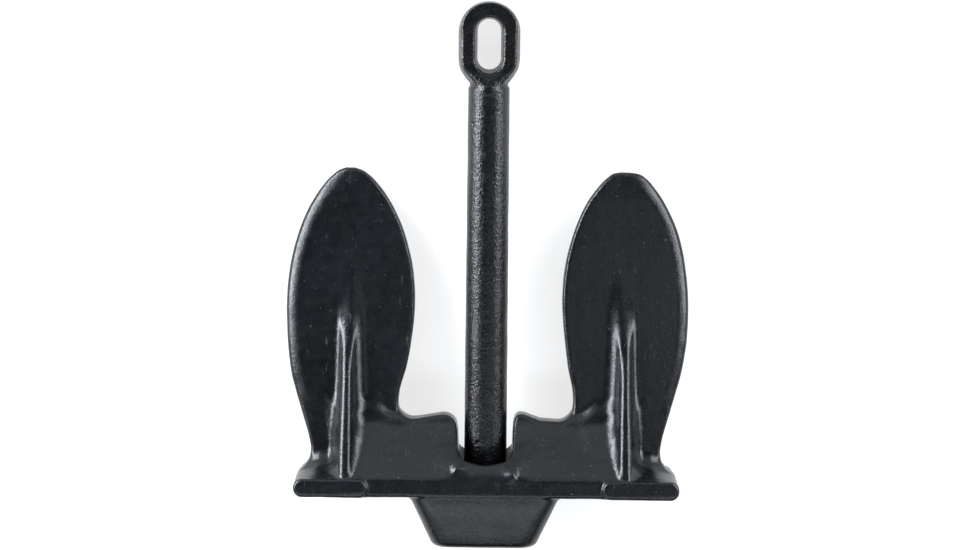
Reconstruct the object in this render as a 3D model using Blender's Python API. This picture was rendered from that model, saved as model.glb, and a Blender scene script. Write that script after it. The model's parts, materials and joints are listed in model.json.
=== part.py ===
"""Navy-pattern boat anchor with a vinyl coat: a cast head (crown, two flukes, tripping palms and a hollow bell), a round
shank with a rode eye that swings in the head's slot on a crown pin, and the keeper that shuts the bell from below.

The pieces are shaped upright (shank along +Z, flukes facing -Y and +Y, millimetres) and then laid on the ground as the free
anchor lies: the head on its palms and both fluke tips, the shank down on the side of its eye. Laid down, +X is across the
flukes, +Y runs towards the eye, +Z is up, the ground is z = 0, and the origin is the bottom centre of the whole, in metres.
"""

import math

import bmesh
import bpy
from mathutils import Matrix, Vector

MM = 0.001

# ---------------------------------------------------------------- driving dimensions, in millimetres
VINYL = 1.5            # thickness of the dipped coat
GAP = 0.3              # clearance between neighbouring solids

PIVOT_Z = 42.5         # height of the crown pin's axis
SWING = 36.5           # angle of the slot's ramps, from upright: the shank is stopped here
SHANK_R_TOP = 13.6     # coated radius of the bar under the eye
SHANK_R_LOW = 14.1     # coated radius of the bar in the slot
SHANK_TOP = 307.2      # where the round bar runs out into the eye
BOSS_R = 13.3          # rounded lower end of the shank, about the crown pin

EYE_TOP = 360.0
EYE_HALF_W = 20.2
EYE_HALF_T = 9.5
EYE_NECK_Z = 304.5
EYE_SLOT = (7.9, 315.4, 348.6)     # half width, bottom, top

FLUKE_X = 91.7         # centre line of each fluke
FLUKE_TIP = 249.8
FLUKE_ROOT = 40.0
FLUKE_OUTER = [(40, 30.5), (46, 29.6), (52, 27.2), (57, 24.9), (62, 23.9), (70, 25.0), (82, 28.2), (100, 33.0), (120, 37.9), (140, 40.6),
               (159, 41.7), (180, 40.1), (200, 35.9), (215, 30.9), (228, 24.5), (238, 17.8), (244.5, 12.0), (248.5, 6.4), (249.8, 3.0)]
FLUKE_INNER = [(40, 36), (62, 36), (78, 36), (86, 35.2), (90, 33.8), (95, 33.2), (100, 33.6), (120, 38.7), (140, 41.9), (155, 43.1),
               (170, 43.0), (185, 41.5), (200, 38.0), (215, 32.8), (228, 26.2), (238, 19.2), (244.5, 13.0), (248.5, 7.0), (249.8, 3.2)]
FLUKE_HALF_T = [(40, 9.0), (90, 7.6), (120, 6.6), (180, 5.6), (230, 4.8), (249.8, 3.4)]

FLUKE_EDGE = 9.5      # how far in from the outer edge a fluke starts to thin

RIB_TOP = 157.5
RIB_FOOT_Z = 46.5
RIB_REACH = 37.4       # how far the rib's ridge stands from the fluke's middle plane at the palm
RIB_RIDGE_HALF = 3.3
RIB_BASE_HALF = 9.0

PALM_X = (76.6, 125.8)
PALM_HALF_Y = 38.0
PALM_Z = (35.2, 47.8)
PALM_CORNER = 8.0
PALM_EDGE = 4.2
PALM_DRAFT = (9.0, 3.0)   # slope of the palm's top at its inner and outer end, in degrees

CROWN_HALF_X = 91.0
CROWN_HALF_Y = 35.5
CROWN_Z = (35.4, 47.2, 81.8, 84.0)  # underside, top of the band, shoulder, top edge
CROWN_TOP_HALF_Y = (9.0, 5.0)
CROWN_EDGE = 3.0

BELL = [(0.5, 30.6, 22.0, 9.0), (2.2, 34.3, 25.2, 11.0), (6.0, 36.6, 27.2, 13.0), (22.0, 43.8, 31.2, 14.0), (41.0, 52.4, 34.8, 15.0)]  # z, half x, half y, corner

SLOT = [(36.0, 17.3), (60.0, 17.6), (76.0, 18.2), (81.0, 19.0), (84.0, 20.6), (86.4, 23.6), (88.2, 29.0), (93.0, 52.0)]  # z, half width in x

CAVITY_HALF_X = 25.0
CAVITY_HALF_Y = 18.0

PIN_R = 6.5
PIN_HALF_L = 24.2
LOCK_R = 2.0
LOCK_HOLE_R = 2.3
KEEPER_PIN_R = 2.5
KEEPER_PIN_Z = 9.0
KEEPER_TOP = 14.0


# ---------------------------------------------------------------- small helpers
def clear_scene():
    for obj in list(bpy.data.objects):
        bpy.data.objects.remove(obj)


def material(name, colour, roughness, metallic):
    made = bpy.data.materials.new(name)
    made.use_nodes = True
    shader = made.node_tree.nodes["Principled BSDF"]
    shader.inputs["Base Color"].default_value = (*colour, 1.0)
    shader.inputs["Roughness"].default_value = roughness
    shader.inputs["Metallic"].default_value = metallic
    return made


def object_of(name, bm, mat=None):
    """A new object from a bmesh in millimetres."""
    bmesh.ops.recalc_face_normals(bm, faces=bm.faces)
    bmesh.ops.scale(bm, vec=Vector((MM, MM, MM)), verts=bm.verts)
    mesh = bpy.data.meshes.new(name)
    bm.to_mesh(mesh)
    bm.free()
    obj = bpy.data.objects.new(name, mesh)
    bpy.context.scene.collection.objects.link(obj)
    if mat:
        mesh.materials.append(mat)
    return obj


def combine(base, tool, operation):
    """Boolean of two objects, kept on base; the tool is removed."""
    modifier = base.modifiers.new("join", "BOOLEAN")
    modifier.operation = operation
    modifier.solver = "EXACT"
    modifier.object = tool
    bpy.context.view_layer.update()
    graph = bpy.context.evaluated_depsgraph_get()
    made = bpy.data.meshes.new_from_object(base.evaluated_get(graph))
    base.modifiers.clear()
    old = base.data
    base.data = made
    bpy.data.meshes.remove(old)
    bpy.data.objects.remove(tool)
    return base


def along(table, z):
    """Smooth interpolation of a table of (z, value) by a monotone-friendly Hermite curve."""
    if z <= table[0][0]:
        return table[0][1]
    if z >= table[-1][0]:
        return table[-1][1]
    k = max(i for i in range(len(table) - 1) if table[i][0] <= z)
    z0, v0 = table[k]
    z1, v1 = table[k + 1]
    before = table[k - 1] if k > 0 else (2 * z0 - z1, 2 * v0 - v1)
    after = table[k + 2] if k + 2 < len(table) else (2 * z1 - z0, 2 * v1 - v0)
    m0 = (v1 - before[1]) / (z1 - before[0])
    m1 = (after[1] - v0) / (after[0] - z0)
    t = (z - z0) / (z1 - z0)
    h = z1 - z0
    return (
        (2 * t**3 - 3 * t**2 + 1) * v0
        + (t**3 - 2 * t**2 + t) * h * m0
        + (-2 * t**3 + 3 * t**2) * v1
        + (t**3 - t**2) * h * m1
    )


def loft(rings):
    """A closed bmesh through rings of points, with a cap on the first and the last."""
    bm = bmesh.new()
    rows = [[bm.verts.new(p) for p in ring] for ring in rings]
    count = len(rows[0])
    for a, b in zip(rows, rows[1:]):
        for i in range(count):
            j = (i + 1) % count
            bm.faces.new((a[i], a[j], b[j], b[i]))
    bm.faces.new(rows[0])
    bm.faces.new(rows[-1])
    bmesh.ops.recalc_face_normals(bm, faces=bm.faces)
    return bm


def rounded_rectangle(half_x, half_y, corner, z, steps=3, at=(0.0, 0.0)):
    """Ring of points of a rounded rectangle at height z."""
    corner = min(corner, half_x - 0.1, half_y - 0.1)
    ring = []
    for quarter, (sx, sy) in enumerate(((1, 1), (-1, 1), (-1, -1), (1, -1))):
        for k in range(steps + 1):
            angle = math.radians(90 * quarter + 90 * k / steps)
            ring.append((at[0] + sx * (half_x - corner) + corner * math.cos(angle), at[1] + sy * (half_y - corner) + corner * math.sin(angle), z))
    return ring


def rounded_corners(points, radii, steps=2):
    """A convex polygon in two dimensions with each corner replaced by an arc."""
    made = []
    for i, (p, radius) in enumerate(zip(points, radii)):
        if radius <= 0.05:
            made.append(tuple(p))
            continue
        here = Vector(p)
        back = (Vector(points[i - 1]) - here).normalized()
        ahead = (Vector(points[(i + 1) % len(points)]) - here).normalized()
        half = back.angle(ahead) / 2
        centre = here + (back + ahead).normalized() * (radius / math.sin(half))
        start = here + back * (radius / math.tan(half))
        end = here + ahead * (radius / math.tan(half))
        a, b = start - centre, end - centre
        turn = a.angle_signed(b)
        for k in range(steps + 1):
            made.append(tuple(centre + Matrix.Rotation(-turn * k / steps, 2) @ a))
    return made


def inset_convex(points, amount):
    """A convex polygon, anticlockwise, with every side moved inwards."""
    made = []
    count = len(points)
    for i in range(count):
        a, b, c = Vector(points[i - 1]), Vector(points[i]), Vector(points[(i + 1) % count])
        n1 = Vector((-(b - a).y, (b - a).x)).normalized()
        n2 = Vector((-(c - b).y, (c - b).x)).normalized()
        made.append(tuple(b + (n1 + n2) * (amount / (1 + n1.dot(n2)))))
    return made


def prism_x(profile, low, high):
    """Profile in (y, z), extruded along X."""
    return loft([[(x, y, z) for y, z in profile] for x in (low, high)])


def cylinder(axis, radius, low, high, centre=(0.0, 0.0), steps=32, phase=0.0):
    """A cylinder along X or Z. The centre is (y, z) for X, and (x, y) for Z."""
    rings = []
    for end in (low, high):
        ring = []
        for k in range(steps):
            angle = 2 * math.pi * (k + phase) / steps
            u, v = centre[0] + radius * math.cos(angle), centre[1] + radius * math.sin(angle)
            ring.append((end, u, v) if axis == "X" else (u, v, end))
        rings.append(ring)
    return loft(rings)


def mirrored_x(bm):
    bmesh.ops.scale(bm, vec=Vector((-1, 1, 1)), verts=bm.verts)
    bmesh.ops.reverse_faces(bm, faces=bm.faces)
    return bm


# ---------------------------------------------------------------- the head
def fluke(inset):
    """Leaf-shaped blade with rounded edges, at +X."""
    heights = [40, 52, 57, 62, 70, 82, 90, 96, 104, 120, 140, 159, 180, 200, 215, 228, 238, 244.5, 248.5, 249.8]
    rings = []
    for z in heights:
        outer = along(FLUKE_OUTER, z) - inset
        inner = along(FLUKE_INNER, z) - inset * (1 + 1.0 * min(max((z - 82) / 38, 0), 1))
        half = along(FLUKE_HALF_T, z) - inset
        edge = min(half, outer * 0.6, inner * 0.6)
        long_edge = edge + (min(max(half, FLUKE_EDGE - inset), outer * 0.6) - edge) * min(max((z - 57) / 47, 0), 1)
        if z == heights[-1]:
            outer, inner, half = max(outer, 1.0), max(inner, 1.0), half * 0.62
            edge = long_edge = min(half, outer * 0.6)
        side = []
        for angle in (0, 30, 60, 90):
            side.append((math.cos(math.radians(angle)), math.sin(math.radians(angle))))
        ring = [(outer - long_edge + long_edge * c, half * s) for c, s in side]
        ring += [(-(inner - edge) - edge * c, half * s) for c, s in reversed(side)]
        ring += [(x, -y) for x, y in ring[-2:0:-1]]
        top = FLUKE_TIP - inset * 1.5
        high = z if z < 238 else 238 + (z - 238) * (top - 238) / (FLUKE_TIP - 238)
        rings.append([(FLUKE_X + x, y, high) for x, y in ring])
    return loft(rings)


def rib(inset):
    """The tapering web that backs the palm, on both faces of a fluke, at +X."""
    bm = bmesh.new()
    ridge, base = RIB_RIDGE_HALF - inset * 0.8, RIB_BASE_HALF - inset
    reach = RIB_REACH - inset
    for sx in (-1, 1):
        for sy in (-1, 1):
            bm.verts.new((FLUKE_X + sx * ridge * 0.6, sy * reach, RIB_FOOT_Z))
            bm.verts.new((FLUKE_X + sx * ridge * 0.6, sy * reach, PALM_Z[0] + 4))
            bm.verts.new((FLUKE_X + sx * ridge, sy * (reach - 1.2), RIB_FOOT_Z))
            bm.verts.new((FLUKE_X + sx * ridge, sy * (reach - 1.2), PALM_Z[0] + 4))
            bm.verts.new((FLUKE_X + sx * ridge * 0.6, sy * (5.4 - inset), RIB_TOP - inset * 3))
        bm.verts.new((FLUKE_X + sx * base, 0, PALM_Z[0] + 4))
        bm.verts.new((FLUKE_X + sx * base * 0.8, 0, 100))
        bm.verts.new((FLUKE_X + sx * ridge, 0, RIB_TOP - inset * 3))
    bmesh.ops.convex_hull(bm, input=bm.verts)
    bmesh.ops.dissolve_limit(bm, angle_limit=0.01, verts=bm.verts, edges=bm.edges)
    return bm


def palm(inset):
    """Tripping palm: a bar across the foot of a fluke, at +X, with rounded edges and a top that rises to the fluke."""
    middle = (PALM_X[0] + PALM_X[1]) / 2
    half = (PALM_X[1] - PALM_X[0]) / 2 - inset
    deep = PALM_HALF_Y - inset
    low, high = PALM_Z[0] + inset, PALM_Z[1] - inset
    edge = PALM_EDGE - inset * 0.8
    bm = bmesh.new()
    for angle in (0, 45, 90):
        s, c = edge * (1 - math.sin(math.radians(angle))), edge * (1 - math.cos(math.radians(angle)))
        for z in (low + c, high - c):
            for point in rounded_rectangle(half - s, deep - s, PALM_CORNER - inset - s * 0.5, z, at=(middle, 0)):
                bm.verts.new(point)
        for side in (-1, 1):
            draft = math.radians(PALM_DRAFT[side > 0])
            bm.verts.new((middle + side * (half - s), 0, high - c + (deep - edge) * math.tan(draft)))
    bmesh.ops.convex_hull(bm, input=bm.verts)
    bmesh.ops.delete(bm, geom=[v for v in bm.verts if not v.link_faces], context="VERTS")
    bmesh.ops.dissolve_limit(bm, angle_limit=0.005, verts=bm.verts, edges=bm.edges)
    return bm


def crown(inset):
    """The wedge that joins the flukes, thin at the top and deep at the band."""
    low, band, shoulder, top = CROWN_Z
    right = [(CROWN_HALF_Y, low), (CROWN_HALF_Y, band), (CROWN_TOP_HALF_Y[0], shoulder), (CROWN_TOP_HALF_Y[1], top)]
    outline = right + [(-y, z) for y, z in reversed(right)]
    radii = [CROWN_EDGE, CROWN_EDGE, 2.0, 3.0, 3.0, 2.0, CROWN_EDGE, CROWN_EDGE]
    outline = inset_convex(outline, inset)
    radii = [max(r - inset * 0.7, 0.6) for r in radii]
    return prism_x(rounded_corners(outline, radii), -CROWN_HALF_X, CROWN_HALF_X)


def bell(inset):
    rings = []
    for k, (z, hx, hy, corner) in enumerate(BELL):
        high = z + inset if k < 3 else z
        slant = inset * 1.1
        rings.append(rounded_rectangle(hx - slant, hy - slant, max(corner - inset, 2), high, steps=4))
    return loft(rings)


def slot_cutter(outset):
    """What the swinging shank sweeps: ramps at the swing angle front and back, with rounded shoulders on top."""
    lean = math.radians(SWING)
    reach = (SHANK_R_LOW + 0.9 + outset) / math.cos(lean)
    rings = []
    for z, half in SLOT:
        deep = reach + (z - PIVOT_Z) * math.tan(lean)
        rings.append([(half + outset, deep, z), (-half - outset, deep, z), (-half - outset, -deep, z), (half + outset, -deep, z)])
    return loft(rings)


def head_envelope(name, inset):
    head = object_of(name, crown(inset))
    for n, bm in enumerate((bell(inset), palm(inset), mirrored_x(palm(inset)), rib(inset), mirrored_x(rib(inset)), fluke(inset), mirrored_x(fluke(inset)))):
        combine(head, object_of(f"{name}_{n}", bm), "UNION")
    return combine(head, object_of(f"{name}_slot", slot_cutter(inset)), "DIFFERENCE")


def cavity():
    """The bell's hollow, open below, with the two upper saddles for the crown pin."""
    hollow = object_of("hollow", loft([rounded_rectangle(CAVITY_HALF_X, CAVITY_HALF_Y, 3.0, z) for z in (-6.0, PIVOT_Z)]))
    saddle = object_of("saddle", cylinder("X", PIN_R + GAP, -CAVITY_HALF_X + 0.02, CAVITY_HALF_X - 0.02, (0, PIVOT_Z)))
    return combine(hollow, saddle, "UNION")


def build_head(iron, vinyl):
    core = head_envelope("head_casting", VINYL + GAP)
    combine(core, cavity(), "DIFFERENCE")
    for side in (-1, 1):
        low, high = sorted((side * (CAVITY_HALF_X - 2), side * 42))
        combine(core, object_of("bore", cylinder("X", KEEPER_PIN_R + GAP, low, high, (0, KEEPER_PIN_Z), 16)), "DIFFERENCE")
    core.data.materials.clear()
    core.data.materials.append(iron)

    skin = head_envelope("head_vinyl_coat", 0.0)
    combine(skin, head_envelope("head_inside", VINYL), "DIFFERENCE")
    combine(skin, cavity(), "DIFFERENCE")
    skin.data.materials.clear()
    skin.data.materials.append(vinyl)
    return core, skin


# ---------------------------------------------------------------- the shank
def eye_outline(inset):
    """Half outline in (x, z) from the neck up to the crown of the eye, then mirrored."""
    radius = EYE_HALF_W - inset
    centre = EYE_TOP - EYE_HALF_W
    neck = SHANK_R_TOP - inset * 2.4 - 0.6
    side = [(neck * 0.8, EYE_NECK_Z - 10), (neck, EYE_NECK_Z), (neck + 1.6 - inset * 0.2, EYE_NECK_Z + 2.4), (radius - 2.9 - inset * 1.4, EYE_NECK_Z + 8.0), (radius - 0.8 - inset, EYE_NECK_Z + 12.5), (radius, EYE_NECK_Z + 18.0)]
    for k in range(0, 7):
        angle = math.radians(90 * k / 6)
        side.append((radius * math.cos(angle), centre + radius * math.sin(angle)))
    return side + [(-x, z) for x, z in reversed(side[:-1])]


def shrink_ring(points, amount):
    """Each point moved towards the inside of the outline by an amount."""
    made = []
    count = len(points)
    for i in range(count):
        a, c = Vector(points[i - 1]), Vector(points[(i + 1) % count])
        along_edge = (c - a).normalized()
        made.append((points[i][0] - along_edge.y * amount, points[i][1] + along_edge.x * amount))
    return made


def eye(inset):
    outline = eye_outline(inset)
    half, bevel = EYE_HALF_T - inset, 2.6 - inset * 0.6
    rings = []
    for sign, angles in ((-1, (0, 45, 90)), (1, (90, 45, 0))):
        for angle in angles:
            in_by = bevel * (1 - math.sin(math.radians(angle)))
            back = bevel * (1 - math.cos(math.radians(angle)))
            rings.append([(x, sign * (half - back), z) for x, z in shrink_ring(outline, in_by)])
    return loft(rings)


def eye_slot(outset):
    """Long hole for the rode's shackle, a little wider at both faces."""
    half_w, low, high = EYE_SLOT
    rings = []
    for y, more in ((-14, 3.4), (-EYE_HALF_T + outset - 0.01, 1.9), (-EYE_HALF_T + 2.2 + outset, 0.5), (0, 0.0), (EYE_HALF_T - 2.2 - outset, 0.5), (EYE_HALF_T - outset + 0.01, 1.9), (14, 3.4)):
        radius = half_w + outset + more
        ring = []
        for k in range(9):
            angle = math.pi * k / 8
            ring.append((radius * math.cos(angle), y, high - half_w + radius * math.sin(angle)))
        for k in range(9):
            angle = math.pi + math.pi * k / 8
            ring.append((radius * math.cos(angle), y, low + half_w + radius * math.sin(angle)))
        rings.append(ring)
    return loft(rings)


def bar(inset, bottom):
    rings = []
    for z, radius in ((bottom, SHANK_R_LOW), (PIVOT_Z + 60, SHANK_R_LOW), (SHANK_TOP - 8, SHANK_R_TOP), (SHANK_TOP - 3, SHANK_R_TOP - 0.8), (SHANK_TOP + 0.5, SHANK_R_TOP - 3.2)):
        r = radius - inset
        rings.append([(r * math.cos(2 * math.pi * k / 32), r * math.sin(2 * math.pi * k / 32), z if z < SHANK_TOP - 5 else z - inset * 1.6) for k in range(32)])
    return loft(rings)


def shank_envelope(name, inset, bottom):
    made = object_of(name, bar(inset, bottom))
    combine(made, object_of(name + "_eye", eye(inset)), "UNION")
    return combine(made, object_of(name + "_hole", eye_slot(inset)), "DIFFERENCE")


def build_shank(iron, vinyl):
    core = shank_envelope("shank_casting", VINYL + GAP, PIVOT_Z + 3)
    ball = bmesh.new()
    bmesh.ops.create_uvsphere(ball, u_segments=24, v_segments=14, radius=BOSS_R, matrix=Matrix.Translation((0, 0, PIVOT_Z)))
    combine(core, object_of("boss", ball), "UNION")
    combine(core, object_of("pin_bore", cylinder("X", PIN_R + GAP, -30, 30, (0, PIVOT_Z))), "DIFFERENCE")
    combine(core, object_of("lock_bore", cylinder("Z", LOCK_HOLE_R, PIVOT_Z - 20, PIVOT_Z + 9, (0, 0), 16)), "DIFFERENCE")
    core.data.materials.clear()
    core.data.materials.append(iron)

    skin = shank_envelope("shank_vinyl_coat", 0.0, PIVOT_Z + 11)
    combine(skin, shank_envelope("shank_inside", VINYL, PIVOT_Z - 5), "DIFFERENCE")
    skin.data.materials.clear()
    skin.data.materials.append(vinyl)
    return core, skin


def build_crown_pin(steel):
    """Pivot pin with chamfered ends, cross-drilled for its lock."""
    rings = []
    for x, r in ((-PIN_HALF_L, PIN_R - 1), (-PIN_HALF_L + 1, PIN_R), (PIN_HALF_L - 1, PIN_R), (PIN_HALF_L, PIN_R - 1)):
        rings.append([(x, r * math.cos(2 * math.pi * k / 32), PIVOT_Z + r * math.sin(2 * math.pi * k / 32)) for k in range(32)])
    pin = object_of("crown_pin", loft(rings))
    combine(pin, object_of("lock_bore_pin", cylinder("Z", LOCK_HOLE_R, PIVOT_Z - 20, PIVOT_Z + 20, (0, 0), 16)), "DIFFERENCE")
    pin.data.materials.clear()
    pin.data.materials.append(steel)
    return pin


def build_lock(steel):
    """Slotted spring pin up the end of the shank, through the crown pin."""
    outer, inner, low, high = LOCK_R, 1.2, PIVOT_Z - BOSS_R + 1.2, PIVOT_Z + 8.4
    ring = []
    for k in range(15):
        angle = math.radians(20 + 320 * k / 14)
        ring.append((outer * math.cos(angle), outer * math.sin(angle)))
    for k in range(15):
        angle = math.radians(340 - 320 * k / 14)
        ring.append((inner * math.cos(angle), inner * math.sin(angle)))
    return object_of("crown_pin_lock", loft([[(x, y, z) for x, y in ring] for z in (low, high)]), steel)


def build_keeper(iron, steel):
    """Block that shuts the bell: its two posts are the lower saddles of the crown pin."""
    half_x, half_y = CAVITY_HALF_X - GAP, CAVITY_HALF_Y - GAP
    rings = [rounded_rectangle(half_x - 1.2, half_y - 1.2, 2.4, 0), rounded_rectangle(half_x, half_y, 2.7, 1.2), rounded_rectangle(half_x, half_y, 2.7, KEEPER_TOP)]
    block = object_of("bell_keeper", loft(rings))
    for side in (-1, 1):
        low, high = sorted((side * 15.8, side * (half_x - 0.4)))
        post = [(-11.5, KEEPER_TOP - 2), (11.5, KEEPER_TOP - 2), (10.5, PIVOT_Z - 1.0), (-10.5, PIVOT_Z - 1.0)]
        combine(block, object_of("post", prism_x(post, low, high)), "UNION")
    combine(block, object_of("groove", cylinder("X", PIN_R + GAP, -40, 40, (0, PIVOT_Z))), "DIFFERENCE")
    for side in (-1, 1):
        low, high = sorted((side * 13.5, side * 40))
        combine(block, object_of("bore", cylinder("X", KEEPER_PIN_R + GAP, low, high, (0, KEEPER_PIN_Z), 16)), "DIFFERENCE")
    block.data.materials.clear()
    block.data.materials.append(iron)
    for side, label in ((-1, "left"), (1, "right")):
        low, high = sorted((side * 14.2, side * 33.9))
        object_of(f"keeper_pin_{label}", cylinder("X", KEEPER_PIN_R, low, high, (0, KEEPER_PIN_Z), 16), steel)


def main():
    clear_scene()
    vinyl = material("black_vinyl", (0.018, 0.019, 0.021), 0.42, 0.0)
    iron = material("cast_iron", (0.13, 0.13, 0.135), 0.6, 0.8)
    steel = material("steel", (0.55, 0.55, 0.56), 0.35, 1.0)
    build_head(iron, vinyl)
    shank, coat = build_shank(iron, vinyl)
    pin = build_crown_pin(steel)
    lock = build_lock(steel)
    build_keeper(iron, steel)

    lay_down([shank, coat, pin, lock], [obj for obj in bpy.data.objects if obj not in (shank, coat, pin, lock)])
    for obj in bpy.data.objects:
        if obj.type == "MESH":
            obj.data.shade_smooth()
            obj.data.set_sharp_from_angle(angle=math.radians(35))


def outline_points(objects):
    """(y, z) of every vertex from the crown pin's axis, in millimetres."""
    return [(v.co.y / MM, v.co.z / MM - PIVOT_Z) for obj in objects for v in obj.data.vertices]


def lowest(points, pitch):
    """Lowest height under the pin's axis of points of a body that lies with its far end pitched down."""
    return min(-y * math.cos(pitch) - z * math.sin(pitch) for y, z in points)


def solve(function, low, high):
    """Root of an increasing function by halving."""
    for _ in range(60):
        middle = (low + high) / 2
        if function(middle) > 0:
            high = middle
        else:
            low = middle
    return (low + high) / 2


def lay_down(shank_pieces, head_pieces):
    """Both bodies turn about the crown pin: each hangs from an empty that stands on its axis."""
    head = outline_points(head_pieces)
    palms, tips = [p for p in head if p[1] < 100], [p for p in head if p[1] >= 100]
    head_pitch = solve(lambda pitch: lowest(palms, pitch) - lowest(tips, pitch), math.radians(2), math.radians(20))
    height = -lowest(head, head_pitch)
    shank = outline_points(shank_pieces)
    shank_pitch = solve(lambda pitch: -height - lowest(shank, pitch), math.radians(-5), math.radians(15))
    run = [z * math.cos(head_pitch) - y * math.sin(head_pitch) for y, z in head]
    run += [z * math.cos(shank_pitch) - y * math.sin(shank_pitch) for y, z in shank]
    middle = (min(run) + max(run)) / 2
    for label, pieces, pitch in (("head_axis", head_pieces, head_pitch), ("shank_axis", shank_pieces, shank_pitch)):
        axis = bpy.data.objects.new(label, None)
        axis.location = (0, -middle * MM, height * MM)
        axis.rotation_euler = (-math.pi / 2 - pitch, 0, 0)
        bpy.context.scene.collection.objects.link(axis)
        for obj in pieces:
            obj.data.transform(Matrix.Translation((0, 0, -PIVOT_Z * MM)))
            obj.parent = axis
    bpy.context.view_layer.update()


main()
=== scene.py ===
import json
import math

import bpy
import numpy as np
from mathutils import Matrix, Vector


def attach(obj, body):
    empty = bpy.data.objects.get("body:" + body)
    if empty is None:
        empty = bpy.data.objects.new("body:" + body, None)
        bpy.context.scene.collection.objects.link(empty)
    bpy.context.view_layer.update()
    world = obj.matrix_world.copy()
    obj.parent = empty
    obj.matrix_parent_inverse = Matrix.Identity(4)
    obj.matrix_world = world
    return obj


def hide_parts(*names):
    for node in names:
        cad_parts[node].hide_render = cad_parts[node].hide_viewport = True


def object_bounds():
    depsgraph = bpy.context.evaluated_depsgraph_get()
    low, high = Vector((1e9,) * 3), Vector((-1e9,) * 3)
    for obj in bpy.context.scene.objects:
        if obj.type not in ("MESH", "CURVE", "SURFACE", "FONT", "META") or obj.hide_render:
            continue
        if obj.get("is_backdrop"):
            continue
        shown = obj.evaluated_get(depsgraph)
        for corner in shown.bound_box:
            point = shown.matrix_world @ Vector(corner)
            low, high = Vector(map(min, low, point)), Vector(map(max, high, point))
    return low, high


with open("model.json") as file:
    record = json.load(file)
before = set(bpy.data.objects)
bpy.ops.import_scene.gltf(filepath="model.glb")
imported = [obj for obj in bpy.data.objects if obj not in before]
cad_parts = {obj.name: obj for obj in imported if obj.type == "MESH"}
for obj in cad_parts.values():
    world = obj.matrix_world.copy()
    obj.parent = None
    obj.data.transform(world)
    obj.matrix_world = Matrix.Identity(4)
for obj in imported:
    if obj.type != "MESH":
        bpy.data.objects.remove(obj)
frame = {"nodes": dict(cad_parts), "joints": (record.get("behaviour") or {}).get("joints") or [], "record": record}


def plain(value):
    if hasattr(value, "__len__") and not isinstance(value, str):
        return [plain(v) for v in value]
    return float(value)


bounds_before = plain(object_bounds())
record = frame["record"]
PIVOT = Vector(frame["joints"][0]["pos_m"])
HEAD_PITCH = math.radians(9.55886590828935)
SHANK_PITCH = math.radians(5.13660528865124)
PIVOT_Z = 42.5

# ------------------------------------------------------------------ distance fields, in the pieces' own upright millimetres
F = np.float32


def rint(a, b, r):
    """Intersection with a round edge of radius r."""
    return np.minimum(-r, np.maximum(a, b)) + np.sqrt(np.maximum(r + a, 0) ** 2 + np.maximum(r + b, 0) ** 2)


def runion(a, b, r):
    """Union with a round fillet of radius r."""
    return np.maximum(r, np.minimum(a, b)) - np.sqrt(np.maximum(r - a, 0) ** 2 + np.maximum(r - b, 0) ** 2)


def smax(a, b, k):
    h = np.clip(0.5 - 0.5 * (b - a) / k, 0, 1)
    return b + (a - b) * h + k * h * (1 - h)


def ease(v, lo, hi):
    t = np.clip((v - lo) / (hi - lo), 0, 1)
    return t * t * (3 - 2 * t)


def waves(x, y, z, length, seed):
    """Smooth, shapeless unevenness of about that wavelength, within -1 and 1."""
    rng = np.random.default_rng(seed)
    total = 0
    for _ in range(9):
        d = rng.normal(size=3)
        d *= rng.uniform(0.6, 1.6) * 2 * math.pi / length / np.linalg.norm(d)
        total = total + np.sin(x * F(d[0]) + y * F(d[1]) + z * F(d[2]) + F(rng.uniform(0, 6.28)))
    return total / 4.5


def along(table, z):
    """Hermite curve through a table of (z, value)."""
    zs, vs = [t[0] for t in table], [t[1] for t in table]
    slopes = np.gradient(vs, zs)
    z = np.clip(np.asarray(z, float), zs[0], zs[-1])
    k = np.clip(np.searchsorted(zs, z, side="right") - 1, 0, len(zs) - 2)
    zs, vs = np.array(zs), np.array(vs)
    h = zs[k + 1] - zs[k]
    t = (z - zs[k]) / h
    return (2 * t**3 - 3 * t**2 + 1) * vs[k] + (t**3 - 2 * t**2 + t) * h * slopes[k] + (3 * t**2 - 2 * t**3) * vs[k + 1] + (t**3 - t**2) * h * slopes[k + 1]


class Outline:
    """Signed distance to a closed outline in a plane, kept on a fine grid."""

    def __init__(self, points, step=0.5, margin=14):
        p = np.array(points, float)
        self.low = p.min(0) - margin
        self.step = step
        n = np.ceil((p.max(0) + margin - self.low) / step).astype(int) + 1
        gx, gz = np.meshgrid(self.low[0] + np.arange(n[0]) * step, self.low[1] + np.arange(n[1]) * step, indexing="ij")
        best = np.full(gx.shape, 1e9)
        inside = np.zeros(gx.shape, bool)
        for a, b in zip(p, np.roll(p, -1, 0)):
            e = b - a
            if e @ e < 1e-12:
                continue
            t = np.clip(((gx - a[0]) * e[0] + (gz - a[1]) * e[1]) / (e @ e), 0, 1)
            best = np.minimum(best, (gx - a[0] - t * e[0]) ** 2 + (gz - a[1] - t * e[1]) ** 2)
            if a[1] != b[1]:
                crosses = (a[1] > gz) != (b[1] > gz)
                inside ^= crosses & (gx < a[0] + (gz - a[1]) * e[0] / e[1])
        self.grid = np.where(inside, -np.sqrt(best), np.sqrt(best)).astype(F)
        self.n = n

    def __call__(self, x, z):
        u = np.clip((x - F(self.low[0])) / F(self.step), 0, self.n[0] - 1.001)
        v = np.clip((z - F(self.low[1])) / F(self.step), 0, self.n[1] - 1.001)
        i, j = u.astype(np.int32), v.astype(np.int32)
        u, v = u - i, v - j
        g = self.grid
        return (g[i, j] * (1 - u) + g[i + 1, j] * u) * (1 - v) + (g[i, j + 1] * (1 - u) + g[i + 1, j + 1] * u) * v


def slab(flat, across, half, r):
    """A flat outline given thickness, with edges rounded to r."""
    a, b = flat + r, across - half + r
    return np.minimum(np.maximum(a, b), 0) + np.sqrt(np.maximum(a, 0) ** 2 + np.maximum(b, 0) ** 2) - r


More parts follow.
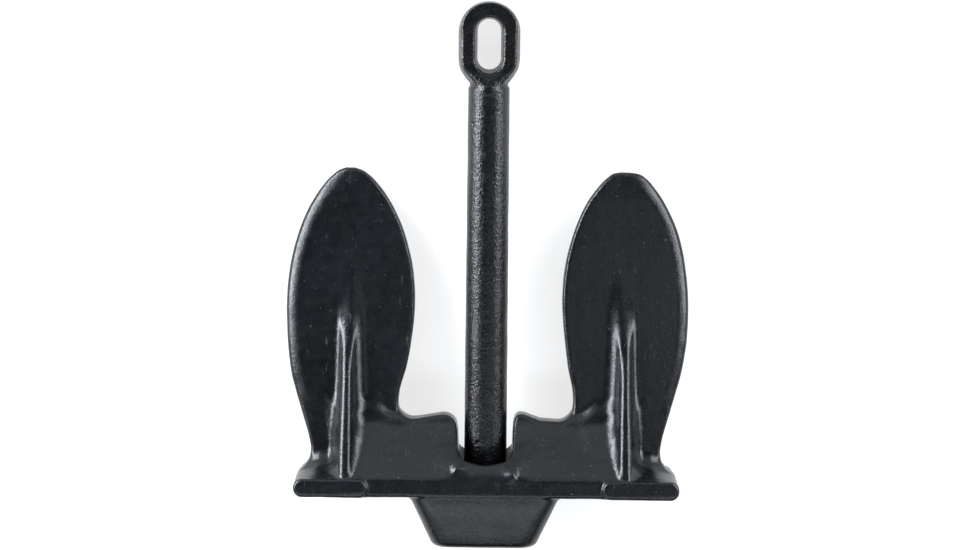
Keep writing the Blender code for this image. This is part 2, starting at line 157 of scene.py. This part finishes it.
FLUKE_X = 91.7
OUTER = [(40, 30.5), (46, 29.6), (52, 27.2), (57, 24.9), (62, 23.9), (70, 25.0), (82, 28.2), (100, 33.0), (120, 37.9), (140, 40.6),
         (159, 41.7), (180, 40.1), (200, 35.9), (215, 30.9), (228, 24.5), (238, 17.8), (244.5, 12.0), (248.5, 6.4), (249.8, 3.0)]
INNER = [(40, 36), (62, 36), (78, 36), (86, 35.2), (90, 33.8), (95, 33.2), (100, 33.6), (120, 38.7), (140, 41.9), (155, 43.1),
         (170, 43.0), (185, 41.5), (200, 38.0), (215, 32.8), (228, 26.2), (238, 19.2), (244.5, 13.0), (248.5, 7.0), (249.8, 3.2)]
heights = np.concatenate([np.linspace(40, 236, 99), np.linspace(237, 249.8, 30)])
leaf = Outline(
    [(FLUKE_X + w, z) for w, z in zip(along(OUTER, heights), heights)]
    + [(FLUKE_X - w, z) for w, z in zip(along(INNER, heights)[::-1], heights[::-1])]
)
SLOT_LEFT = [(36.0, 17.3), (60.0, 17.6), (76.0, 18.2), (81.0, 19.0), (84.0, 20.6), (86.4, 23.6), (88.2, 29.0), (93.0, 44.0)]
SLOT_RIGHT = [(36.0, 17.2), (60.0, 17.4), (76.0, 17.8), (82.0, 18.3), (85.5, 19.4), (87.5, 21.0), (89.0, 24.0), (95.0, 40.0)]
CROWN = [(30, 35.5), (44, 35.5), (46.5, 35.3), (49, 34.1), (55, 29.9), (63, 24.0), (70, 18.8), (76, 14.4), (81, 11.0), (86, 8.8), (92, 7.6)]
crown_z = np.linspace(30, 92, 249)
crown_y = along(CROWN, crown_z)
crown_n = 1 / np.sqrt(1 + np.gradient(crown_y, crown_z) ** 2)
RIDGE = [(40, 3.6), (71, 3.5), (97, 3.05), (110, 2.95), (123, 3.1), (136, 3.3), (149, 3.6), (160, 3.8)]


BELL_X = [(0, 33.9), (6, 36.6), (22, 43.8), (44, 53.8)]
BELL_Y = [(0, 25.6), (8, 28.3), (16, 30.6), (24, 32.8), (32, 34.5), (38, 35.3), (44, 35.5)]
bell_z = np.linspace(0, 44, 177)
bell_x, bell_y = along(BELL_X, bell_z), along(BELL_Y, bell_z)
# where each fluke's casting departs from the drawn leaf: height, inner edge, outer edge
LEFT = [(60, 0.0, 0.0), (75, 0.3, 0.0), (83, 0.6, 0.4), (97, 0.9, 0.9), (110, 0.9, 1.2), (123, 0.9, 0.5), (136, 0.9, 0.0), (149, 1.1, -0.6), (165, 1.2, -0.9), (250, 0.9, -0.9)]
RIGHT = [(80, 0.5, 0.2), (96, 0.7, 0.7), (110, -0.1, 1.0), (123, -1.0, 0.9), (136, -1.45, 0.9), (150, -1.45, 0.3), (165, -1.2, 0.0), (185, -1.2, 0.2), (202, -0.8, 0.6), (216, -0.5, 0.7), (230, 0.0, 0.6), (249, 0.0, 0.0)]
DOTS = [(-19.0, 55.0, 1.4, 0.5), (18.4, 51.4, 2.0, 0.25)]


def table(rows, v):
    return np.interp(v, [r[0] for r in rows], [r[1] for r in rows]).astype(F)


def head_field(x, y, z):
    X, Y = np.abs(x), np.abs(y)
    # fluke: a leaf that thins towards its point, with a long soft edge outside and a tight one inside
    half = table([(40, 9.0), (90, 7.6), (120, 6.6), (180, 5.6), (230, 4.8), (249.8, 3.4)], z)
    inner = ease(FLUKE_X - X, -12, 14)
    left = table([(r[0], r[1]) for r in LEFT], z) * inner - table([(r[0], r[2]) for r in LEFT], z) * (1 - inner)
    right = table([(r[0], r[1]) for r in RIGHT], z) * inner - table([(r[0], r[2]) for r in RIGHT], z) * (1 - inner)
    flat = leaf(X + np.where(x < 0, left, right), z)
    flat = np.where(x > 0, smax(flat, (z - 248.3) + (X - FLUKE_X) * 0.06, 3.0), flat)
    outside = ease(X, FLUKE_X - 6, FLUKE_X + 12) * ease(z, 70, 110)
    thin = half - outside * np.minimum(3.5, half * 0.62) * np.clip(1 + flat / 8.5, 0, 1) ** 1.5
    fluke = slab(flat, Y, thin, np.minimum(thin * 0.9, 2.3 + 0.4 * (1 - outside)))
    # rib behind the palm
    reach = 37.2 - (z - 46.5) * 0.2883
    reach = -smax(-reach, np.full_like(reach, -36.6), 1.5)
    side = (np.abs(X - FLUKE_X) - (table(RIDGE, z) + 0.157 * (reach - Y))) * 0.988
    rib = rint(side, (Y - reach) * 0.961, 2.2)
    # its two top corners are fettled to narrow flats
    rib = smax(rib, (np.abs(X - FLUKE_X) - table(RIDGE, z)) * 0.477 + (Y - reach) * 0.845 + 0.98, 0.3)
    rib = np.maximum(rib, 39.5 - z)
    # palm: a flat bar with full-round ends
    shy = 1 - 0.75 * ease(X, 108, 124)
    rise = np.clip(34.5 - Y, 0, 40) * 0.27 * shy
    tall = z - 41.5
    tall = np.where(tall > 0, np.maximum(tall - rise, 0), -tall)
    a, b = np.abs(X - np.where(x > 0, 101.7, 101.1)) - np.where(x > 0, 25.3, 24.4) + 5.9, tall - 6.3 + 5.9
    palm = np.sqrt(np.maximum(a, 0) ** 2 + np.maximum(b, 0) ** 2) + np.minimum(np.maximum(a, b), 0) - 5.9
    palm = rint(palm, Y - 38.0, 2.4)
    # crown: a wedge with an upright band along its foot, and a low pad round the slot
    skirt = 34.0 + 4.0 * ease(z, 54, 62)
    pad = (2.0 - 1.2 * ease(z, 57, 72)) * (1 - ease((X - 18.5) / (skirt - 18.5), 0, 1)) * ease(z, 43.5, 57.0)
    deep = np.interp(z, crown_z, crown_y).astype(F) + pad
    top = np.where(
        x > 0,
        table([(16, 88.6), (20, 88.3), (24, 87.1), (37, 85.5), (47, 85.0), (60, 84.8)], X),
        table([(16, 87.8), (28, 87.4), (45, 85.8), (58, 85.0)], X),
    )
    crown = (Y - deep) * np.interp(z, crown_z, crown_n).astype(F)
    crown = smax(crown, z - top + table([(-60, 1.3), (-45, 1.3), (-30, 0.2), (16, -0.7), (26, -0.6), (36, 1.8), (60, 1.9)], x), 2.5)
    crown = rint(crown, 35.4 - z, 2.4)
    crown = np.maximum(crown, X - 91.0)
    # bell
    hx, hy = np.interp(z, bell_z, bell_x).astype(F), np.interp(z, bell_z, bell_y).astype(F)
    a, b = X - hx + 12.0 + np.where(x > 0, 0.7, 0.0).astype(F), Y - hy + 12.0
    bell = (np.sqrt(np.maximum(a, 0) ** 2 + np.maximum(b, 0) ** 2) + np.minimum(np.maximum(a, b), 0) - 12.0) * 0.94
    bell = rint(bell, 0.5 - z, 3.6)
    bell = np.maximum(bell, z - 44)

    body = runion(fluke, crown, 8.0 + 10.0 * ease(-flat, 3, 17))
    body = smax(body, Y - smax(half, deep, 3.0) - 2.4, 2.5)
    for dx, dz, tall, stretch in DOTS:
        u = (x - dx) * math.copysign(1, dx)
        u = np.where(u < 0, u * 0.4, u)
        spot = np.exp(-(u**2 + (z - dz) ** 2 * stretch) / 4.5)
        body = body - (tall * spot * ease(Y, 20, 28)).astype(F)
    near = table([(20, 1.0), (36, 0.25)], Y)
    body = runion(body, rib, (9.0 - 4.0 * ease(X, 88, 95)) * near)
    body = runion(body, palm, table([(3, 5.0), (9, 11.0), (26, 9.0), (36, 1.4)], Y) * (1 - 0.55 * ease(X, 108, 122)))
    body = np.maximum(body, 35.25 - z)
    body = runion(body, bell, table([(26, 4.0), (34.0, 1.0)], Y))
    # what the shank sweeps in the crown
    cut = (Y - (18.3 + (z - PIVOT_Z) * 0.74) + X * X * 0.02) * 0.804
    cut = rint(X - np.where(x > 0, table(SLOT_RIGHT, z), table(SLOT_LEFT, z)), cut, 5.0)
    cut = np.maximum(cut, 36 - z)
    body = rint(body, -cut, 2.2)
    # hollow of the bell
    hollow = np.maximum(np.maximum(X - 25.3, Y - 18.3), z - 42.8)
    saddle = np.maximum(np.sqrt(Y * Y + (z - PIVOT_Z) ** 2) - 7.1, X - 25.3)
    # the casting is a little uneven under the coat
    body = body + 0.15 * waves(x, y, z, 34, 3) + 0.05 * waves(x, y, z, 11, 5) + 0.16
    body = np.maximum(body, -np.minimum(hollow, saddle))
    body = np.maximum(np.maximum(body, Y - 37.95), np.maximum(X - 133.35, 0.5 - z))
    up = 37.655 - y * math.cos(HEAD_PITCH) - (z - PIVOT_Z) * math.sin(HEAD_PITCH)
    return np.maximum(body, np.maximum(0.03 - up, up - 75.6))


EYE_TABLE = [(290, 11.2), (301, 12.6), (304.5, 13.3), (307.5, 15.0), (312.5, 17.5), (317.0, 19.3), (322.5, 20.15), (328, 20.2), (339.8, 20.2)]
zs = np.linspace(290, 339.8, 80)
arc = np.radians(np.linspace(2, 178, 60))
right_side = [(float(along(EYE_TABLE, z)), z) for z in zs]
eye_outline = Outline(right_side + [(20.2 * math.cos(t), 339.8 + 20.2 * math.sin(t)) for t in arc] + [(-x, z) for x, z in reversed(right_side)], step=0.35)
PITS = [(-10.3, -9.2, 281, 1.15), (-11.3, -8.1, 249.5, 0.8), (-5.4, -13.4, 70.3, 1.9), (6.5, 12.4, 214, 1.0), (-4.0, 13.4, 150, 0.9)]


def shank_field(x, y, z):
    Y = np.abs(y)
    radius = np.interp(z, [53, 102.5, 300], [14.1, 14.1, 13.6]).astype(F)
    bar = rint(np.sqrt(x * x + y * y) - radius, z - 306.5, 4.0)
    half = 9.5 + 4.0 * ease(-z, -318, -303)
    r = 1.2 + 11.7 * ease(-z, -320, -304)
    draft = 0.24 * ease(z, 300, 318) * (1 - 0.85 * ease(z, 338, 352))
    rim = eye_outline(x, z)
    eye = slab((rim + draft * Y) * (1 - 0.03 * ease(z, 300, 318)), Y, half, r)
    hole = np.sqrt(x * x + (z - np.clip(z, 323.3, 340.7)) ** 2)
    eye = rint(eye, -(hole - 7.5 - 0.2 * Y) * 0.98, 1.0)
    # narrow flats along the edges of its faces
    eye = smax(eye, (rim + draft * 9.5) * 0.515 + (Y - half) * 0.857 + 0.60, 0.15)
    eye = smax(eye, (9.4 - hole) * 0.515 + (Y - half) * 0.857 + 0.54, 0.15)
    shoulder = 0.752 * (np.abs(x) - 16.8) - 0.579 * (z - 317) + 0.314 * (Y - 9.5)
    eye = rint(eye, shoulder, 0.9)
    body = runion(bar, eye, F(1.2))
    body = rint(body, 53.5 - z, 0.8)
    rough = ease(-z, -312, -296)
    body = body + 0.08 * waves(x, y, z, 26, 8) + rough * (0.03 * waves(x, y, z, 7.0, 9) + 0.03 * waves(x, y, z, 3.2, 10)) + 0.10
    for px, py, pz, pr in PITS:
        body = np.maximum(body, pr - np.sqrt((x - px) ** 2 + (y - py) ** 2 + (z - pz) ** 2))
    body = np.maximum(np.maximum(body, np.abs(x) - 20.2), z - 360)
    up = 37.655 - y * math.cos(SHANK_PITCH) - (z - PIVOT_Z) * math.sin(SHANK_PITCH)
    body = np.minimum(body, np.sqrt((x + 4.9) ** 2 + (y + 13.5) ** 2 + (z - 68.7) ** 2) - 1.0)
    return np.maximum(body, 0.03 - up)


# ------------------------------------------------------------------ surface of a field
def surface(name, field, low, high, step):
    low, high = np.array(low, float), np.array(high, float)
    n = np.ceil((high - low) / step).astype(int) + 1
    axes = [(low[i] + np.arange(n[i]) * step).astype(F) for i in range(3)]
    values = np.empty(tuple(n), F)
    for k in range(0, n[0], 24):
        gx, gy, gz = np.meshgrid(axes[0][k : k + 24], axes[1], axes[2], indexing="ij")
        values[k : k + 24] = field(gx, gy, gz)
    values[values == 0] = 1e-6
    neg = values < 0
    count = np.zeros(tuple(n - 1), np.int8)
    for i in (0, 1):
        for j in (0, 1):
            for k in (0, 1):
                count += neg[i : n[0] - 1 + i, j : n[1] - 1 + j, k : n[2] - 1 + k]
    cells = np.argwhere((count > 0) & (count < 8))
    index = np.full(tuple(n - 1), -1, np.int32)
    index[tuple(cells.T)] = np.arange(len(cells))
    total = np.zeros((len(cells), 3))
    hits = np.zeros(len(cells))
    for axis in range(3):
        others = [a for a in range(3) if a != axis]
        for u in (0, 1):
            for v in (0, 1):
                start = cells.copy()
                start[:, others[0]] += u
                start[:, others[1]] += v
                end = start.copy()
                end[:, axis] += 1
                a, b = values[tuple(start.T)], values[tuple(end.T)]
                cross = (a < 0) != (b < 0)
                t = np.where(cross, a / np.where(cross, a - b, 1), 0)
                point = start.astype(float)
                point[:, axis] += t
                total[cross] += point[cross]
                hits[cross] += 1
    p = low + total / hits[:, None] * step
    quads = []
    for axis in range(3):
        o1, o2 = (axis + 1) % 3, (axis + 2) % 3
        lo = [slice(1, n[a] - 1) for a in range(3)]
        lo[axis] = slice(0, n[axis] - 1)
        hi = list(lo)
        hi[axis] = slice(1, n[axis])
        a, b = neg[tuple(lo)], neg[tuple(hi)]
        at = np.argwhere(a != b)
        flip = a[tuple(at.T)]
        for i in range(3):
            if i != axis:
                at[:, i] += 1
        corner = []
        for du, dv in ((-1, -1), (0, -1), (0, 0), (-1, 0)):
            c = at.copy()
            c[:, o1] += du
            c[:, o2] += dv
            corner.append(index[tuple(c.T)])
        q = np.stack(corner, 1)
        q[~flip] = q[~flip][:, ::-1]
        quads.append(q)
    quads = np.concatenate(quads)
    e = 0.05
    for _ in range(3):
        x, y, z = (p[:, i].astype(F) for i in range(3))
        d = field(x, y, z)
        g = np.stack([(field(x + e, y, z) - field(x - e, y, z)), (field(x, y + e, z) - field(x, y - e, z)), (field(x, y, z + e) - field(x, y, z - e))], 1) / (2 * e)
        size = np.maximum((g * g).sum(1), 0.3)
        p -= np.clip(d / size, -0.5 * step, 0.5 * step)[:, None] * g * 0.9
    mesh = bpy.data.meshes.new(name)
    mesh.vertices.add(len(p))
    mesh.vertices.foreach_set("co", p.astype(F).ravel())
    mesh.loops.add(quads.size)
    mesh.loops.foreach_set("vertex_index", quads.astype(np.int32).ravel())
    mesh.polygons.add(len(quads))
    mesh.polygons.foreach_set("loop_start", np.arange(0, quads.size, 4, dtype=np.int32))
    mesh.update(calc_edges=True)
    mesh.validate()
    mesh.shade_smooth()
    obj = bpy.data.objects.new(name, mesh)
    bpy.context.scene.collection.objects.link(obj)
    return obj


def settle(obj, pitch):
    """From upright millimetres about the crown pin to the row frame."""
    place = Matrix.Translation(PIVOT) @ Matrix.Rotation(-math.pi / 2 - pitch, 4, "X") @ Matrix.Scale(0.001, 4) @ Matrix.Translation((0, 0, -PIVOT_Z))
    obj.data.transform(place)
    obj.data.update()


head = surface("head_coat", head_field, (-136, -40, -2), (136, 40, 252), 1.05)
settle(head, HEAD_PITCH)
shank = surface("shank_coat", shank_field, (-22.2, -16.2, 51), (22.2, 16.2, 362), 0.7)
settle(shank, SHANK_PITCH)


# ------------------------------------------------------------------ materials
class Graph:
    def __init__(self, name):
        self.material = bpy.data.materials.new(name)
        self.material.use_nodes = True
        self.tree = self.material.node_tree
        self.shader = self.tree.nodes["Principled BSDF"]
        self.coords = self.tree.nodes.new("ShaderNodeTexCoord").outputs["Object"]

    def link(self, a, b):
        self.tree.links.new(a, b)

    def noise(self, scale, detail=2.0, rough=0.5, stretch=None, offset=(0, 0, 0)):
        node = self.tree.nodes.new("ShaderNodeTexNoise")
        node.inputs["Scale"].default_value = scale
        node.inputs["Detail"].default_value = detail
        node.inputs["Roughness"].default_value = rough
        mapping = self.tree.nodes.new("ShaderNodeMapping")
        mapping.inputs["Location"].default_value = offset
        if stretch:
            mapping.inputs["Scale"].default_value = stretch
        self.link(self.coords, mapping.inputs["Vector"])
        self.link(mapping.outputs["Vector"], node.inputs["Vector"])
        return node.outputs["Fac"]

    def band(self, value, a, b, c=0.0, d=1.0):
        node = self.tree.nodes.new("ShaderNodeMapRange")
        for key, number in (("From Min", a), ("From Max", b), ("To Min", c), ("To Max", d)):
            node.inputs[key].default_value = number
        self.link(value, node.inputs["Value"])
        return node.outputs["Result"]

    def mix(self, factor, a, b):
        node = self.tree.nodes.new("ShaderNodeMix")
        node.data_type = "RGBA"
        for socket, value in ((node.inputs[0], factor), (node.inputs[6], a), (node.inputs[7], b)):
            if isinstance(value, bpy.types.NodeSocket):
                self.link(value, socket)
            else:
                socket.default_value = (*value, 1) if isinstance(value, tuple) else value
        return node.outputs[2]

    def math(self, operation, a, b=0.0):
        node = self.tree.nodes.new("ShaderNodeMath")
        node.operation = operation
        for socket, value in ((node.inputs[0], a), (node.inputs[1], b)):
            if isinstance(value, bpy.types.NodeSocket):
                self.link(value, socket)
            else:
                socket.default_value = value
        return node.outputs[0]

    def bump(self, height, distance, strength=1.0, before=None):
        node = self.tree.nodes.new("ShaderNodeBump")
        node.inputs["Distance"].default_value = distance
        node.inputs["Strength"].default_value = strength
        self.link(height, node.inputs["Height"])
        if before is not None:
            self.link(before, node.inputs["Normal"])
        return node.outputs["Normal"]


def vinyl(name, peel, roughness, ior, pale, deep, shine, speck):
    g = Graph(name)
    cloud = g.noise(26, 3)
    fine = g.noise(1500, 2)
    specks = g.band(g.noise(1100, 1, offset=(3, 1, 2)), 0.762, 0.80)
    colour = g.mix(g.band(cloud, 0.3, 0.7), deep, shine)
    colour = g.mix(g.band(fine, 0.45, 0.8, 0.0, pale), colour, (0.016, 0.017, 0.019))
    colour = g.mix(g.math("MULTIPLY", specks, speck), colour, (0.17, 0.17, 0.168))
    rubbed = g.band(g.noise(75, 4, 0.6, stretch=(2.2, 0.7, 1.0), offset=(2, 6, 1)), 0.60, 0.74)
    hairs = g.band(g.noise(300, 2, 0.5, stretch=(3.0, 0.35, 1.0), offset=(1, 4, 9)), 0.58, 0.66)
    scuffs = g.math("MULTIPLY", rubbed, hairs)
    colour = g.mix(g.math("MULTIPLY", scuffs, 0.55), colour, (0.075, 0.077, 0.080))
    g.link(colour, g.shader.inputs["Base Color"])
    mottle = g.noise(150, 3)
    rough = g.math("ADD", g.band(mottle, 0.3, 0.7, roughness - 0.05, roughness + 0.05), g.math("MULTIPLY", specks, 0.3))
    g.link(rough, g.shader.inputs["Roughness"])
    g.shader.inputs["IOR"].default_value = ior
    wavy = g.bump(g.noise(120, 2), 0.00030 * peel, 0.5)
    pebbled = g.bump(g.noise(680, 2, 0.6), 0.00042 * peel, 1.0, wavy)
    grained = g.bump(fine, 0.00007 * (0.5 + peel), 0.7, pebbled)
    g.link(grained, g.shader.inputs["Normal"])
    return g.material


def iron():
    g = Graph("sand_cast_iron")
    cloud = g.noise(40, 4)
    colour = g.mix(g.band(cloud, 0.35, 0.65), (0.055, 0.053, 0.052), (0.12, 0.115, 0.11))
    rust = g.band(g.noise(95, 5, 0.65, offset=(5, 2, 7)), 0.58, 0.70)
    colour = g.mix(g.math("MULTIPLY", rust, 0.55), colour, (0.13, 0.052, 0.022))
    g.link(colour, g.shader.inputs["Base Color"])
    g.shader.inputs["Metallic"].default_value = 0.55
    g.link(g.band(cloud, 0.3, 0.7, 0.55, 0.75), g.shader.inputs["Roughness"])
    g.link(g.bump(g.noise(900, 3), 0.00025, 0.8), g.shader.inputs["Normal"])
    return g.material


def steel():
    g = Graph("turned_steel")
    lines = g.noise(260, 3, 0.6, stretch=(9, 1, 1))
    colour = g.mix(g.band(lines, 0.3, 0.7), (0.36, 0.36, 0.37), (0.52, 0.52, 0.53))
    g.link(colour, g.shader.inputs["Base Color"])
    g.shader.inputs["Metallic"].default_value = 1.0
    g.link(g.band(lines, 0.3, 0.7, 0.28, 0.42), g.shader.inputs["Roughness"])
    g.link(g.bump(lines, 0.00004, 0.6), g.shader.inputs["Normal"])
    return g.material


head.data.materials.append(vinyl("dipped_vinyl", 0.35, 0.27, 1.4, 0.22, (0.0016, 0.0020, 0.0026), (0.0034, 0.0039, 0.0049), 0.8))
shank.data.materials.append(vinyl("dipped_vinyl_shank", 1.0, 0.24, 1.42, 0.0, (0.0005, 0.0006, 0.0008), (0.0012, 0.0014, 0.0018), 0.35))
cast, turned = iron(), steel()
for name, node in frame["nodes"].items():
    chosen = turned if ("pin" in name) else cast
    if not node.material_slots:
        node.data.materials.append(chosen)
    for s in node.material_slots:
        s.material = chosen

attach(head, "head")
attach(shank, "shank")
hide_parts("head_vinyl_coat")
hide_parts("shank_vinyl_coat")

# ------------------------------------------------------------------ studio
mesh = bpy.data.meshes.new("floor")
mesh.from_pydata([(-4, -4, 0), (4, -4, 0), (4, 4, 0), (-4, 4, 0)], [], [(0, 1, 2, 3)])
floor = bpy.data.objects.new("floor", mesh)
bpy.context.scene.collection.objects.link(floor)
g = Graph("pale_floor")
g.shader.inputs["Base Color"].default_value = (0.30, 0.30, 0.30, 1)
g.shader.inputs["Roughness"].default_value = 0.7
g.shader.inputs["Specular IOR Level"].default_value = 0.2
g.shader.inputs["Emission Color"].default_value = (1, 1, 1, 1)
g.shader.inputs["Emission Strength"].default_value = 0.76
mesh.materials.append(g.material)
floor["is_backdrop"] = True


def softbox(name, place, target, width, height, radiance):
    light = bpy.data.lights.new(name, "AREA")
    light.shape = "RECTANGLE"
    light.size, light.size_y = width, height
    light.color = (0.94, 0.99, 1.06)
    light.energy = radiance * math.pi * width * height
    obj = bpy.data.objects.new(name, light)
    obj.location = place
    obj.rotation_euler = (Vector(target) - Vector(place)).to_track_quat("-Z", "Y").to_euler()
    bpy.context.scene.collection.objects.link(obj)
    return obj


centre = (0, 0, 0.03)
softbox("left_box", (-1.0, 0.45, 0.52), centre, 1.2, 0.40, 31.0)
softbox("right_box", (0.95, 0.45, 0.54), centre, 1.2, 0.40, 13.5)
softbox("far_box", (0, 1.25, 0.64), centre, 1.2, 0.80, 1.35)
softbox("near_box", (0, -0.80, 1.40), centre, 1.9, 0.55, 2.9)
softbox("top_box", (0.40, 0.17, 1.60), (0.09, 0.05, 0), 0.5, 0.6, 1.25)
softbox("left_fill", (-0.85, -0.70, 0.85), centre, 1.1, 0.9, 1.3)
softbox("right_fill", (0.85, -0.70, 0.85), centre, 1.1, 0.9, 0.9)

world = bpy.data.worlds.new("studio")
bpy.context.scene.world = world
world.use_nodes = True
world.node_tree.nodes["Background"].inputs["Color"].default_value = (0.9, 0.95, 1.0, 1)
world.node_tree.nodes["Background"].inputs["Strength"].default_value = 0.04

# ------------------------------------------------------------------ camera, square on to the flukes
tilt = HEAD_PITCH + math.radians(4.7747)
back = Vector((0, math.sin(tilt), math.cos(tilt)))
up = Vector((0, math.cos(tilt), -math.sin(tilt)))
spin = math.radians(0.574)
right = Vector((1, 0, 0)) * math.cos(spin) + up * math.sin(spin)
high = up * math.cos(spin) - Vector((1, 0, 0)) * math.sin(spin)
look = PIVOT + Vector((0.00127, math.cos(HEAD_PITCH) * 0.13664, -math.sin(HEAD_PITCH) * 0.13664))
eye = look + back * 1.76565
camera = bpy.data.objects.new("camera", bpy.data.cameras.new("camera"))
camera.data.lens = 98.3
camera.data.sensor_width = 36
camera.matrix_world = Matrix(((right.x, high.x, back.x, eye.x), (right.y, high.y, back.y, eye.y), (right.z, high.z, back.z, eye.z), (0, 0, 0, 1)))
bpy.context.scene.collection.objects.link(camera)
bpy.context.scene.camera = camera
bpy.context.scene.view_settings.view_transform = "Standard"

{"before": bounds_before, "after": plain(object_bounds())}
